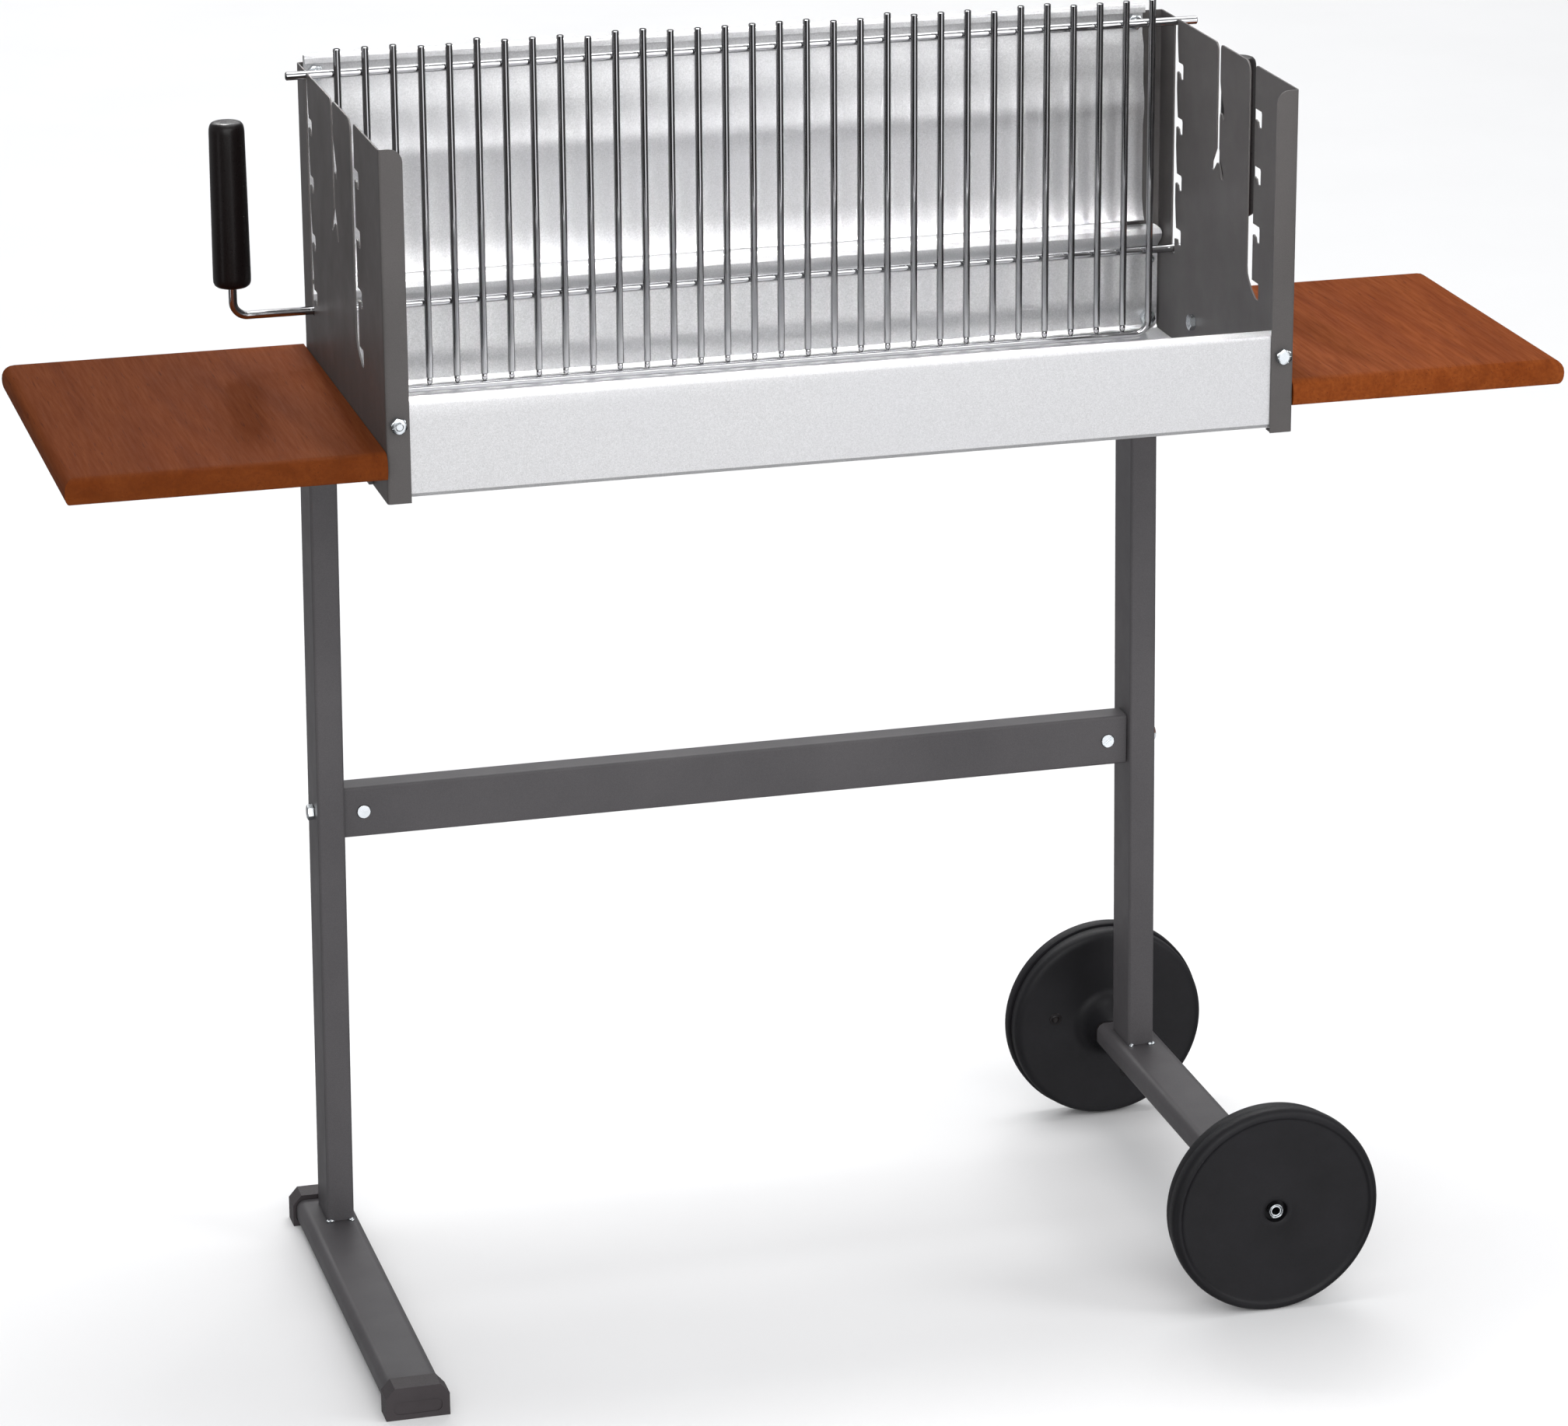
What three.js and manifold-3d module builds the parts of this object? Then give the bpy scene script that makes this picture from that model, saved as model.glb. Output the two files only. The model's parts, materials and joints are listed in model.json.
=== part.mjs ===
// Open box charcoal grill on a two-legged trolley with two wheels, two wooden
// shelves and a lift-out grate. Millimetres, +Z up, X along the grill from left
// to right, -Y at the front, floor at Z = 0, origin under the middle of the
// whole object.

import * as THREE from 'three';
import { mergeVertices, toCreasedNormals } from 'three/addons/utils/BufferGeometryUtils.js';
import Module from 'manifold-3d';

const wasm = await Module();
wasm.setup();

// ---------------------------------------------------------------- dimensions

// Fire box
const boxHalf = 315; // outer face of each side panel
const boxFront = -187;
const boxBack = 97;
const boxBottom = 652;
const boxTop = 890;
const panelSheet = 1.2;
const flangeFront = 16;
const flangeRear = 28;
const fit = 0.3; // working gap between neighbouring pieces

// Charcoal tray and back plate
const traySheet = 1;
const apronTop = 721;
const trayBottom = 655;
const trayWallTop = 733;
const plateLeft = -311;
const plateRight = 299;
const plateBack = 95.2;
const plateTop = 896;

// Slots in the side panels, measured along Y and Z
const rearSlit = { back: 66.9, front: 59.7, end: 718.7, hook: 46.5 };
const midSlit = { back: -26, front: -32 };
const frontSlot = { back: -92, front: -104, hook: -117.5 };
const hookFloors = [848, 808, 767, 727];

// Grate
const barCount = 31;
const barPitch = 19.6;
const barRadius = 2.5;
const wireRadius = 3;
const wireY = 63;
const barY = 57.9;
const topWireZ = 888;
const handleWireZ = 722;
const topWireHalf = 329;
const gripLeftX = -371;
const gripRightX = 362;
const gripBottom = 743;
const gripTop = 859;
const gripRadius = 12.6;

// Frame
const tubeWall = 1.5;
const legWidth = 20;
const legInTop = 295; // the legs spread a little towards the floor
const legInBottom = 301;
const legFront = boxBack + fit;
const legDepth = 38;
const legTop = 674;
const crossbarFront = 104;
const crossbarBack = 124;
const crossbarBottom = 317;
const crossbarTop = 355;

// Foot and axle
const footX = -316;
const axleX = 312;
const footTube = { width: 40, height: 19.5, corner: 7 };
const footBottom = 1;
const wheelRadius = 77.5;
const wheelFaceFront = -201;
const wheelFaceRear = 205;
const wheelThick = 26;
const axleTubeBottom = 71.5;
const axleRodRadius = 4;

// Shelves, each given by its outer edge, front edge and back edge
const shelfTop = 688;
const shelfThick = 18;
const shelfLeft = { outer: 528, front: -193, back: 104 };
const shelfRight = { outer: 514, front: -188, back: 70 };

// Fasteners
const hexRadius = 5.8;
const boltRadius = 3;
const boltHole = boltRadius + fit;
const screwHole = 2 + fit;
const legBoltX = 305;
const legBoltZ = 664;
const trayScrewX = 307;
const trayScrewZ = 707;
const plateBolts = { left: -303, right: 292 };
const plateBoltZ = 883;

// Middle of the whole object, measured from the middle of the fire box
const middleX = (shelfRight.outer - shelfLeft.outer) / 2;

// ------------------------------------------------------------------ materials

function paint(color, roughness, metalness) {
  return new THREE.MeshStandardMaterial({ color, roughness, metalness });
}

const looks = {
  darkPaint: () => paint(0x57504d, 0.55, 0.3),
  framePaint: () => paint(0x4a4749, 0.55, 0.3),
  aluminised: () => paint(0xc3c4c8, 0.42, 0.9),
  chrome: () => paint(0xd9dadc, 0.12, 1),
  zinc: () => paint(0xb9c0c4, 0.3, 1),
  steel: () => paint(0x8d9094, 0.4, 1),
  blackPlastic: () => paint(0x1f1c1c, 0.45, 0),
  wheelPlastic: () => paint(0x2a2a2b, 0.55, 0),
  wood: () => paint(0x8b4527, 0.6, 0),
};

// -------------------------------------------------------------------- helpers

function solid(geometry) {
  const bare = geometry.clone();
  bare.deleteAttribute('normal');
  bare.deleteAttribute('uv');
  const welded = mergeVertices(bare, 1e-4);
  return new wasm.Manifold(new wasm.Mesh({
    numProp: 3,
    vertProperties: Float32Array.from(welded.attributes.position.array),
    triVerts: Uint32Array.from(welded.index.array),
  }));
}

function surface(body) {
  const mesh = body.getMesh();
  const geometry = new THREE.BufferGeometry();
  geometry.setAttribute('position', new THREE.BufferAttribute(new Float32Array(mesh.vertProperties), 3));
  geometry.setIndex(new THREE.BufferAttribute(new Uint32Array(mesh.triVerts), 1));
  return geometry;
}

// Joins solids into one, then takes the cutters away.
function build(parts, cutters = []) {
  let body = solid(parts[0]);
  for (const part of parts.slice(1)) {
    body = body.add(solid(part));
  }
  for (const cutter of cutters) {
    body = body.subtract(solid(cutter));
  }
  return surface(body);
}

function block(x0, x1, y0, y1, z0, z1) {
  const geometry = new THREE.BoxGeometry(x1 - x0, y1 - y0, z1 - z0);
  return geometry.translate((x0 + x1) / 2, (y0 + y1) / 2, (z0 + z1) / 2);
}

// Shape drawn in Y and Z, extruded along X from x0 to x1.
function alongX(shape, x0, x1, curveSegments = 5) {
  const geometry = new THREE.ExtrudeGeometry(shape, {
    depth: x1 - x0, bevelEnabled: false, curveSegments,
  });
  const turn = new THREE.Matrix4().makeBasis(
    new THREE.Vector3(0, 1, 0), new THREE.Vector3(0, 0, 1), new THREE.Vector3(1, 0, 0));
  return geometry.applyMatrix4(turn).translate(x0, 0, 0);
}

// Shape drawn in X and Z, extruded along Y from y0 to y1.
function alongY(shape, y0, y1, curveSegments = 5) {
  const geometry = new THREE.ExtrudeGeometry(shape, {
    depth: y1 - y0, bevelEnabled: false, curveSegments,
  });
  const turn = new THREE.Matrix4().makeBasis(
    new THREE.Vector3(1, 0, 0), new THREE.Vector3(0, 0, 1), new THREE.Vector3(0, -1, 0));
  return geometry.applyMatrix4(turn).translate(0, y1, 0);
}

// Round rod between two points.
function rod(from, to, radius, segments = 12, endRadius = radius) {
  const a = new THREE.Vector3(...from);
  const b = new THREE.Vector3(...to);
  const length = a.distanceTo(b);
  const geometry = new THREE.CylinderGeometry(endRadius, radius, length, segments);
  const turn = new THREE.Quaternion().setFromUnitVectors(
    new THREE.Vector3(0, 1, 0), b.clone().sub(a).normalize());
  geometry.applyQuaternion(turn);
  const middle = a.add(b).multiplyScalar(0.5);
  return geometry.translate(middle.x, middle.y, middle.z);
}

class QuarterBend extends THREE.Curve {
  constructor(center, start, end) {
    super();
    this.center = center;
    this.start = start;
    this.end = end;
  }

  getPoint(t, target = new THREE.Vector3()) {
    const angle = t * Math.PI / 2;
    return target.copy(this.center)
      .addScaledVector(this.start, Math.cos(angle))
      .addScaledVector(this.end, Math.sin(angle));
  }
}

// Quarter bend of round wire. start and end are the arms from its centre.
function wireBend(center, start, end, radius, segments = 12) {
  const section = new THREE.Shape();
  section.absarc(0, 0, radius, 0, Math.PI * 2);
  const path = new QuarterBend(
    new THREE.Vector3(...center), new THREE.Vector3(...start), new THREE.Vector3(...end));
  return new THREE.ExtrudeGeometry(section, {
    steps: 7, bevelEnabled: false, extrudePath: path, curveSegments: segments / 2,
  });
}

function polygon(points) {
  return new THREE.Shape(points.map(([a, b]) => new THREE.Vector2(a, b)));
}

// Rectangle with its four corners rounded: [low-left, low-right, high-right, high-left].
function roundedRect(a0, a1, b0, b1, radii) {
  const [r0, r1, r2, r3] = radii;
  const shape = new THREE.Shape();
  shape.moveTo(a0 + r0, b0);
  shape.lineTo(a1 - r1, b0);
  if (r1) shape.absarc(a1 - r1, b0 + r1, r1, -Math.PI / 2, 0);
  shape.lineTo(a1, b1 - r2);
  if (r2) shape.absarc(a1 - r2, b1 - r2, r2, 0, Math.PI / 2);
  shape.lineTo(a0 + r3, b1);
  if (r3) shape.absarc(a0 + r3, b1 - r3, r3, Math.PI / 2, Math.PI);
  shape.lineTo(a0, b0 + r0);
  if (r0) shape.absarc(a0 + r0, b0 + r0, r0, Math.PI, Math.PI * 1.5);
  return shape;
}

// Closed outline of a bent sheet: the given face line, and the same line moved
// by the sheet's thickness to its left.
function bentSheet(line, thickness) {
  const left = [];
  for (let i = 0; i < line.length; i += 1) {
    const here = new THREE.Vector2(...line[i]);
    const normals = [];
    if (i > 0) {
      const d = here.clone().sub(new THREE.Vector2(...line[i - 1])).normalize();
      normals.push(new THREE.Vector2(-d.y, d.x));
    }
    if (i < line.length - 1) {
      const d = new THREE.Vector2(...line[i + 1]).sub(here).normalize();
      normals.push(new THREE.Vector2(-d.y, d.x));
    }
    const mean = normals.reduce((sum, n) => sum.add(n), new THREE.Vector2()).normalize();
    left.push(here.addScaledVector(mean, thickness / mean.dot(normals[0])));
  }
  return polygon([...line, ...left.reverse().map((p) => [p.x, p.y])]);
}

// Shape drawn in X and Y, extruded upwards from z0 to z1.
function alongZ(shape, z0, z1, curveSegments = 5) {
  return new THREE.ExtrudeGeometry(shape, {
    depth: z1 - z0, bevelEnabled: false, curveSegments,
  }).translate(0, 0, z0);
}

// Hexagon head or nut lying across Y, its flats up or turned by a small angle.
function hexAcrossY(x, z, y0, y1, turn = 0) {
  const geometry = new THREE.CylinderGeometry(hexRadius, hexRadius, y1 - y0, 6);
  return geometry.rotateY(turn).translate(x, (y0 + y1) / 2, 0).translate(0, 0, z);
}

function hexAcrossX(y, z, x0, x1) {
  const geometry = new THREE.CylinderGeometry(hexRadius, hexRadius, x1 - x0, 6);
  return geometry.rotateZ(Math.PI / 2).translate((x0 + x1) / 2, y, z);
}

// Nut with a clear hole for its bolt.
function nutAcrossY(x, z, y0, y1, turn) {
  return build([hexAcrossY(x, z, y0, y1, turn)], [rod([x, y0 - 1, z], [x, y1 + 1, z], boltHole)]);
}

const grill = new THREE.Group();
grill.name = 'charcoal_grill_trolley';

function add(name, geometry, material) {
  const crisp = toCreasedNormals(geometry.index ? geometry.toNonIndexed() : geometry, 0.6);
  const mesh = new THREE.Mesh(crisp, material);
  mesh.name = name;
  grill.add(mesh);
  return mesh;
}

// ---------------------------------------------------------------- side panels

// Hook pocket on the front side of a slot, as outline points going down: a
// level roof, a seat for the wire at the far end, and a tooth that keeps it in.
function hookPoints(edge, hook, floor, height) {
  return [
    [edge, floor + height],
    [hook + 1, floor + height],
    [hook, floor + height - 1.5],
    [hook, floor + 1],
    [hook + 1, floor],
    [hook + 6.6, floor],
    [hook + 8, floor + 3.4],
    [edge - 1, floor + 4.4],
    [edge, floor + 3.4],
  ];
}

function cornerPoints(y, z, radius, side) {
  const points = [];
  for (let i = 0; i <= 4; i += 1) {
    const angle = i / 4 * Math.PI / 2;
    points.push([y + side * radius * (1 - Math.sin(angle)), z - radius * (1 - Math.cos(angle))]);
  }
  return points;
}

// Outlines in Y and Z of the three slots of a side panel, open above the top
// edge of the box.
const above = boxTop + 5;

function frontSlotOutline() {
  const { front, back, hook } = frontSlot;
  const last = hookFloors[3];
  return polygon([
    [front - 3, above],
    ...cornerPoints(front, boxTop, 3, -1),
    ...hookFloors.slice(0, 3).flatMap((floor) => hookPoints(front, hook, floor, 12)),
    [front, last + 12],
    [hook + 1, last + 12],
    [hook, last + 10.5],
    [hook, last + 1],
    [hook + 1, last],
    [hook + 6.6, last],
    [front + 2, last + 5],
    [back - 4, last + 10],
    [back - 1, last + 14],
    [back, last + 19],
    ...cornerPoints(back, boxTop, 8, 1).reverse(),
    [back + 8, above],
  ].reverse());
}

function midSlitOutline() {
  const { front, back } = midSlit;
  return polygon([
    [front - 3, above],
    ...cornerPoints(front, boxTop, 3, -1),
    [front, 864],
    [front - 2, 857],
    [front - 8, 847],
    [front - 9, 839],
    [front - 7, 837],
    [front - 4, 841],
    [front - 1, 841.5],
    [front, 838],
    [front, 816],
    [front - 3, 809],
    [front - 9, 800],
    [front - 9.5, 795],
    [front - 6, 795],
    [front, 805],
    [back - 2, 805],
    [back + 5, 798],
    [back + 8.5, 799],
    [back + 8, 804],
    [back, 815],
    ...cornerPoints(back, boxTop, 5.5, 1).reverse(),
    [back + 5.5, above],
  ].reverse());
}

function rearSlitOutline() {
  const { front, back, end, hook } = rearSlit;
  const height = 11.5;
  const pockets = hookFloors.flatMap((floor, i) => {
    const pocket = hookPoints(front, hook, floor, height);
    pocket[0] = [front - 3, floor + height];
    return [
      [front, floor + height + 20],
      [front - 1.6, floor + height + 7],
      ...(i === 3 ? pocket.slice(0, -2) : pocket),
    ];
  });
  return polygon([
    [front, above],
    ...pockets,
    [front, hookFloors[3] + 3],
    [front, end],
    [back, end],
    [back, above],
  ].reverse());
}

const shelfBoltYs = [14.5, -105];
const shelfBoltZ = 679;

// Cutter for a hole through the sheets and flange at the back of the box.
function acrossY(x, z, radius) {
  return rod([x, boxBack - 15, z], [x, boxBack + 5, z], radius);
}

// Panel and its two flanges as one bent sheet, seen from above.
function panelPlan(side) {
  const at = (inset) => side * (boxHalf - inset);
  return bentSheet([
    [at(flangeFront), boxFront],
    [at(2), boxFront],
    [at(0.6), boxFront + 0.6],
    [at(0), boxFront + 2],
    [at(0), boxBack - 2],
    [at(0.6), boxBack - 0.6],
    [at(2), boxBack],
    [at(flangeRear), boxBack],
  ], side * panelSheet);
}

// Cutter that rounds a top corner of a sheet standing across Y. The corner is
// at X = end, and the air beyond it lies in the direction of toward.
function cornerCutter(end, top, radius, toward, y) {
  const arc = [];
  for (let i = 0; i <= 5; i += 1) {
    const angle = i / 5 * Math.PI / 2;
    arc.push([end - toward * radius * (1 - Math.sin(angle)), top - radius * (1 - Math.cos(angle))]);
  }
  return alongY(polygon([
    [end - toward * radius, top + 5],
    ...arc,
    [end + toward * 3, top - radius],
    [end + toward * 3, top + 5],
  ]), y - 6, y + 6);
}

function sidePanel(side) {
  const boltX = side * (boxHalf - flangeFront / 2);
  const lip = [side * (boxHalf - 0.6), side * (boxHalf - flangeFront + 0.3)].sort((a, b) => a - b);
  return build([
    alongZ(panelPlan(side), boxBottom, boxTop),
    block(...lip, boxFront + 0.5, boxFront + 9, boxBottom + 0.3, boxBottom + 1.5),
  ], [
    ...[frontSlotOutline(), midSlitOutline(), rearSlitOutline()].map((outline) => (
      alongX(outline, side * boxHalf - 3, side * boxHalf + 3))),
    cornerCutter(side * (boxHalf - flangeFront), boxTop, 9, -side, boxFront),
    cornerCutter(side * (boxHalf - flangeRear), boxTop, 6, -side, boxBack),
    rod([boltX, boxFront - 5, 706], [boltX, boxFront + 5, 706], boltHole),
    acrossY(side * legBoltX, legBoltZ, boltHole),
    acrossY(side * trayScrewX, trayScrewZ, screwHole),
    acrossY(side < 0 ? plateBolts.left : plateBolts.right, plateBoltZ, boltHole),
    ...shelfBoltYs.map((y) => (
      rod([side * (boxHalf - 5), y, shelfBoltZ], [side * (boxHalf + 5), y, shelfBoltZ], boltHole))),
  ]);
}

add('side_panel_left', sidePanel(-1), looks.darkPaint());
add('side_panel_right', sidePanel(1), looks.darkPaint());

// -------------------------------------------------- charcoal tray, back plate

const trayHalf = boxHalf - panelSheet - 0.9;
const apronFace = boxFront + panelSheet + fit;
const trayWallBack = boxBack - panelSheet - 0.6;

const trayLine = [
  [-173, 714],
  [-173, apronTop - 1],
  [-174, apronTop],
  [apronFace + 3, apronTop],
  [apronFace + 0.8, apronTop - 1],
  [apronFace, apronTop - 3.5],
  [apronFace, trayBottom + 3],
  [apronFace + 3, trayBottom],
  [trayWallBack - 3, trayBottom],
  [trayWallBack, trayBottom + 3],
  [trayWallBack, trayWallTop - 17.5],
  [trayWallBack - 1.2, trayWallTop - 14.2],
  [trayWallBack - 5, trayWallTop - 11],
  [trayWallBack - 8.4, trayWallTop - 8.2],
  [trayWallBack - 9.8, trayWallTop - 4.8],
  [trayWallBack - 9, trayWallTop - 1.8],
  [trayWallBack - 6.6, trayWallTop],
  [trayWallBack - 3.4, trayWallTop + 0.2],
];

add('charcoal_tray', build([
  alongX(bentSheet(trayLine, traySheet), -trayHalf, trayHalf),
], [-1, 1].flatMap((side) => [
  cornerCutter(side * trayHalf, trayWallTop + 1.2, 6, side, trayWallBack - 7.6),
  rod([side * 307, boxFront, 706], [side * 307, boxFront + 10, 706], boltHole),
  acrossY(side * legBoltX, legBoltZ, boltHole),
  acrossY(side * trayScrewX, trayScrewZ, screwHole),
])), looks.aluminised());

// Back face of the plate from its rolled top edge down to its foot, which curves
// forward over the bead of the tray's rear wall.
const plateLine = [
  [88, plateTop - 6],
  [88, plateTop - 2],
  [89.5, plateTop],
  [plateBack - 1.6, plateTop],
  [plateBack, plateTop - 2],
  [plateBack, 874],
  [91.5, 866],
  [91, 838],
  [88.6, 828],
  [88.4, 820],
  [91, 808],
  [91, 764],
  [90.5, 754],
  [88.9, 747],
  [87, 742],
  [85.4, 739.4],
  [84.4, 738.4],
];

add('back_plate', build([
  alongX(bentSheet(plateLine, -traySheet), plateLeft, plateRight),
], Object.values(plateBolts).map((x) => acrossY(x, plateBoltZ, boltHole))), looks.aluminised());

// ---------------------------------------------------------------------- grate

const barLeft = -(barCount - 1) / 2 * barPitch;
const barBottom = 669;
const frameZ = 661.7;
const frameBend = 10;

function grateBars() {
  const parts = [rod([-topWireHalf, wireY, topWireZ], [topWireHalf, wireY, topWireZ], wireRadius)];
  for (let i = 0; i < barCount; i += 1) {
    const x = barLeft + i * barPitch;
    const end = i === 0 || i === barCount - 1;
    const low = end ? frameZ + frameBend - 0.1 : barBottom;
    const top = 906 + (i % 3) * 0.8 - (i % 5) * 0.5;
    parts.push(rod([x, barY, low], [x, barY, top], barRadius, 10));
  }
  for (const side of [-1, 1]) {
    const x = side * -barLeft;
    const center = [x - side * frameBend, barY, frameZ + frameBend];
    parts.push(wireBend(center, [side * frameBend, 0, 0], [0, 0, -frameBend], barRadius));
  }
  parts.push(rod([barLeft + frameBend - 0.1, barY, frameZ], [-barLeft - frameBend + 0.1, barY, frameZ],
    barRadius, 12));
  return build(parts);
}

add('grate_bars', grateBars(), looks.chrome());

const handleY = wireY + 0.7;
const handleRadius = wireRadius - 0.1;

function handleWire() {
  const bend = 10;
  const parts = [rod([gripLeftX + bend - 0.1, handleY, handleWireZ],
    [gripRightX - bend + 0.1, handleY, handleWireZ], handleRadius)];
  for (const x of [gripLeftX, gripRightX]) {
    const side = Math.sign(x);
    const center = [x - side * bend, handleY, handleWireZ + bend];
    parts.push(wireBend(center, [side * bend, 0, 0], [0, 0, -bend], handleRadius));
    parts.push(rod([x, handleY, handleWireZ + bend - 0.1], [x, handleY, gripTop - 14], handleRadius));
  }
  return build(parts);
}

add('grate_handle_wire', handleWire(), looks.chrome());

function grip(x) {
  const profile = [
    [3.2, gripBottom],
    [10.5, gripBottom],
    [gripRadius + 0.6, gripBottom + 2],
    [gripRadius + 0.2, gripBottom + 30],
    [gripRadius - 0.4, gripTop - 3],
    [gripRadius - 1.4, gripTop - 0.6],
    [gripRadius - 3, gripTop],
    [0, gripTop],
    [0, gripTop - 13],
    [3.2, gripTop - 13],
    [3.2, gripBottom],
  ];
  const geometry = new THREE.LatheGeometry(profile.map(([r, z]) => new THREE.Vector2(r, z)), 24);
  return build([geometry.rotateX(Math.PI / 2).translate(x, handleY, 0)]);
}

add('grip_left', grip(gripLeftX), looks.blackPlastic());
add('grip_right', grip(gripRightX), looks.blackPlastic());

// ---------------------------------------------------------------------- frame

const legBack = legFront + legDepth;
const footTop = footBottom + footTube.height;
const axleTubeTop = axleTubeBottom + footTube.height;
const crossbarBoltZ = (crossbarBottom + crossbarTop) / 2;
const crossbarBoltY = (crossbarFront + crossbarBack) / 2;

// Inner face of a leg at a height.
function legIn(z) {
  return THREE.MathUtils.mapLinear(z, footTop, legTop, legInBottom, legInTop);
}

// Upright drawn with its inner face at X = 0, then leaned to follow legIn.
function lean(geometry, side) {
  const place = geometry.attributes.position;
  for (let i = 0; i < place.count; i += 1) {
    place.setX(i, side * (place.getX(i) + legIn(place.getZ(i))));
  }
  if (side > 0) return geometry;
  const turned = mergeVertices(geometry.deleteAttribute('uv').deleteAttribute('normal'), 1e-4);
  const order = turned.index.array;
  for (let i = 0; i < order.length; i += 3) {
    [order[i], order[i + 1]] = [order[i + 1], order[i]];
  }
  return turned;
}

// Upright bar with a rounded rectangular section, from one height to another.
function upright(inset, corner, z0, z1) {
  const section = roundedRect(inset, legWidth - inset, legFront + inset, legBack - inset,
    [corner, corner, corner, corner]);
  return new THREE.ExtrudeGeometry(section, {
    depth: z1 - z0, bevelEnabled: false, curveSegments: 3,
  }).translate(0, 0, z0);
}

function leg(side, bottom) {
  const holes = [
    lean(upright(tubeWall, 1, bottom - 1, legTop + 1), side),
    rod([side * legBoltX, legFront - 5, legBoltZ], [side * legBoltX, legBack + 5, legBoltZ], boltHole),
    rod([side * 290, crossbarBoltY, crossbarBoltZ], [side * 330, crossbarBoltY, crossbarBoltZ], boltHole),
  ];
  return build([lean(upright(0, 2, bottom, legTop), side)], holes);
}

add('leg_left', leg(-1, footTop + fit), looks.framePaint());
add('leg_right', leg(1, axleTubeTop + fit), looks.framePaint());

function legPlug(side) {
  const wall = tubeWall + fit;
  return build([
    lean(upright(0, 2, legTop + fit, legTop + 3), side),
    lean(upright(wall, 1, legTop - 4, legTop + 1), side),
  ]);
}

add('leg_plug_left', legPlug(-1), looks.blackPlastic());
add('leg_plug_right', legPlug(1), looks.blackPlastic());

function crossbar() {
  const half = legIn(crossbarTop) - fit;
  const section = roundedRect(crossbarFront, crossbarBack, crossbarBottom, crossbarTop, [2, 2, 2, 2]);
  const w = tubeWall;
  section.holes.push(roundedRect(crossbarFront + w, crossbarBack - w,
    crossbarBottom + w, crossbarTop - w, [0.5, 0.5, 0.5, 0.5]));
  const holes = [-1, 1].map((side) => (
    rod([side * 283, crossbarFront - 5, crossbarBoltZ], [side * 283, crossbarBack + 5, crossbarBoltZ], 5.3)
  ));
  return build([alongX(section, -half, half, 2)], holes);
}

add('crossbar', crossbar(), looks.framePaint());

function barrelNut(side, turn) {
  const slot = block(-0.7, 0.7, crossbarFront - 2, crossbarFront + 1, -6, 6);
  slot.rotateY(turn).translate(side * 283, 0, crossbarBoltZ);
  return build([
    rod([side * 283, crossbarFront - 0.8, crossbarBoltZ], [side * 283, crossbarBack + 0.8, crossbarBoltZ],
      5, 16),
  ], [
    rod([side * 270, crossbarBoltY, crossbarBoltZ], [side * 296, crossbarBoltY, crossbarBoltZ], boltHole),
    ...(side > 0 ? [slot] : []),
  ]);
}

function crossbarBolt(side) {
  const face = legIn(crossbarBoltZ - 8) + legWidth;
  const out = side * (face + fit);
  const far = side * (face + 4.4);
  return build([
    hexAcrossX(crossbarBoltY, crossbarBoltZ, Math.min(out, far), Math.max(out, far)),
    rod([side * 276, crossbarBoltY, crossbarBoltZ], [side * (face + 2), crossbarBoltY, crossbarBoltZ],
      boltRadius),
  ]);
}

add('crossbar_barrel_nut_left', barrelNut(-1, 0), looks.zinc());
add('crossbar_barrel_nut_right', barrelNut(1, 0.9), looks.zinc());
add('crossbar_bolt_left', crossbarBolt(-1), looks.zinc());
add('crossbar_bolt_right', crossbarBolt(1), looks.zinc());

// ------------------------------------------------------------- foot and axle

function flatTube(x, bottom, y0, y1) {
  const half = footTube.width / 2;
  const top = bottom + footTube.height;
  const r = footTube.corner;
  const outer = roundedRect(x - half, x + half, bottom, top, [r, r, r, r]);
  const w = tubeWall;
  const q = r - w;
  outer.holes.push(roundedRect(x - half + w, x + half - w, bottom + w, top - w, [q, q, q, q]));
  return alongY(outer, y0, y1, 4);
}

const footFront = -205;
const footBack = 161;
add('foot_tube', build([flatTube(footX, footBottom, footFront + 6, footBack - 6)]), looks.framePaint());

// Cap over one end of the foot tube, with chamfered top corners and a pad below.
function footCap(face, inward) {
  const half = 22.5;
  const outline = polygon([
    [footX - half, 0],
    [footX + half, 0],
    [footX + half, 16.5],
    [footX + half - 6.5, 24],
    [footX - half + 6.5, 24],
    [footX - half, 16.5],
  ]);
  const deep = face + inward * 18;
  const r = footTube.corner;
  const pocket = roundedRect(footX - 20.3, footX + 20.3, footBottom - fit, footTop + fit, [r, r, r, r]);
  const start = face + inward * (6 - fit);
  const end = face + inward * 30;
  return build([
    alongY(outline, Math.min(face, deep), Math.max(face, deep)),
  ], [
    alongY(pocket, Math.min(start, end), Math.max(start, end), 4),
    alongY(roundedRect(footX - 17, footX + 17, 4, 13.5, [4, 4, 4, 4]),
      Math.min(face - inward, face + inward * 0.6), Math.max(face - inward, face + inward * 0.6), 4),
  ]);
}

add('foot_cap_front', footCap(footFront, 1), looks.blackPlastic());
add('foot_cap_rear', footCap(footBack, -1), looks.blackPlastic());

const axleTubeFront = -144;
const axleTubeBack = 148;
add('axle_tube', build([flatTube(axleX, axleTubeBottom, axleTubeFront, axleTubeBack)]),
  looks.framePaint());

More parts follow.
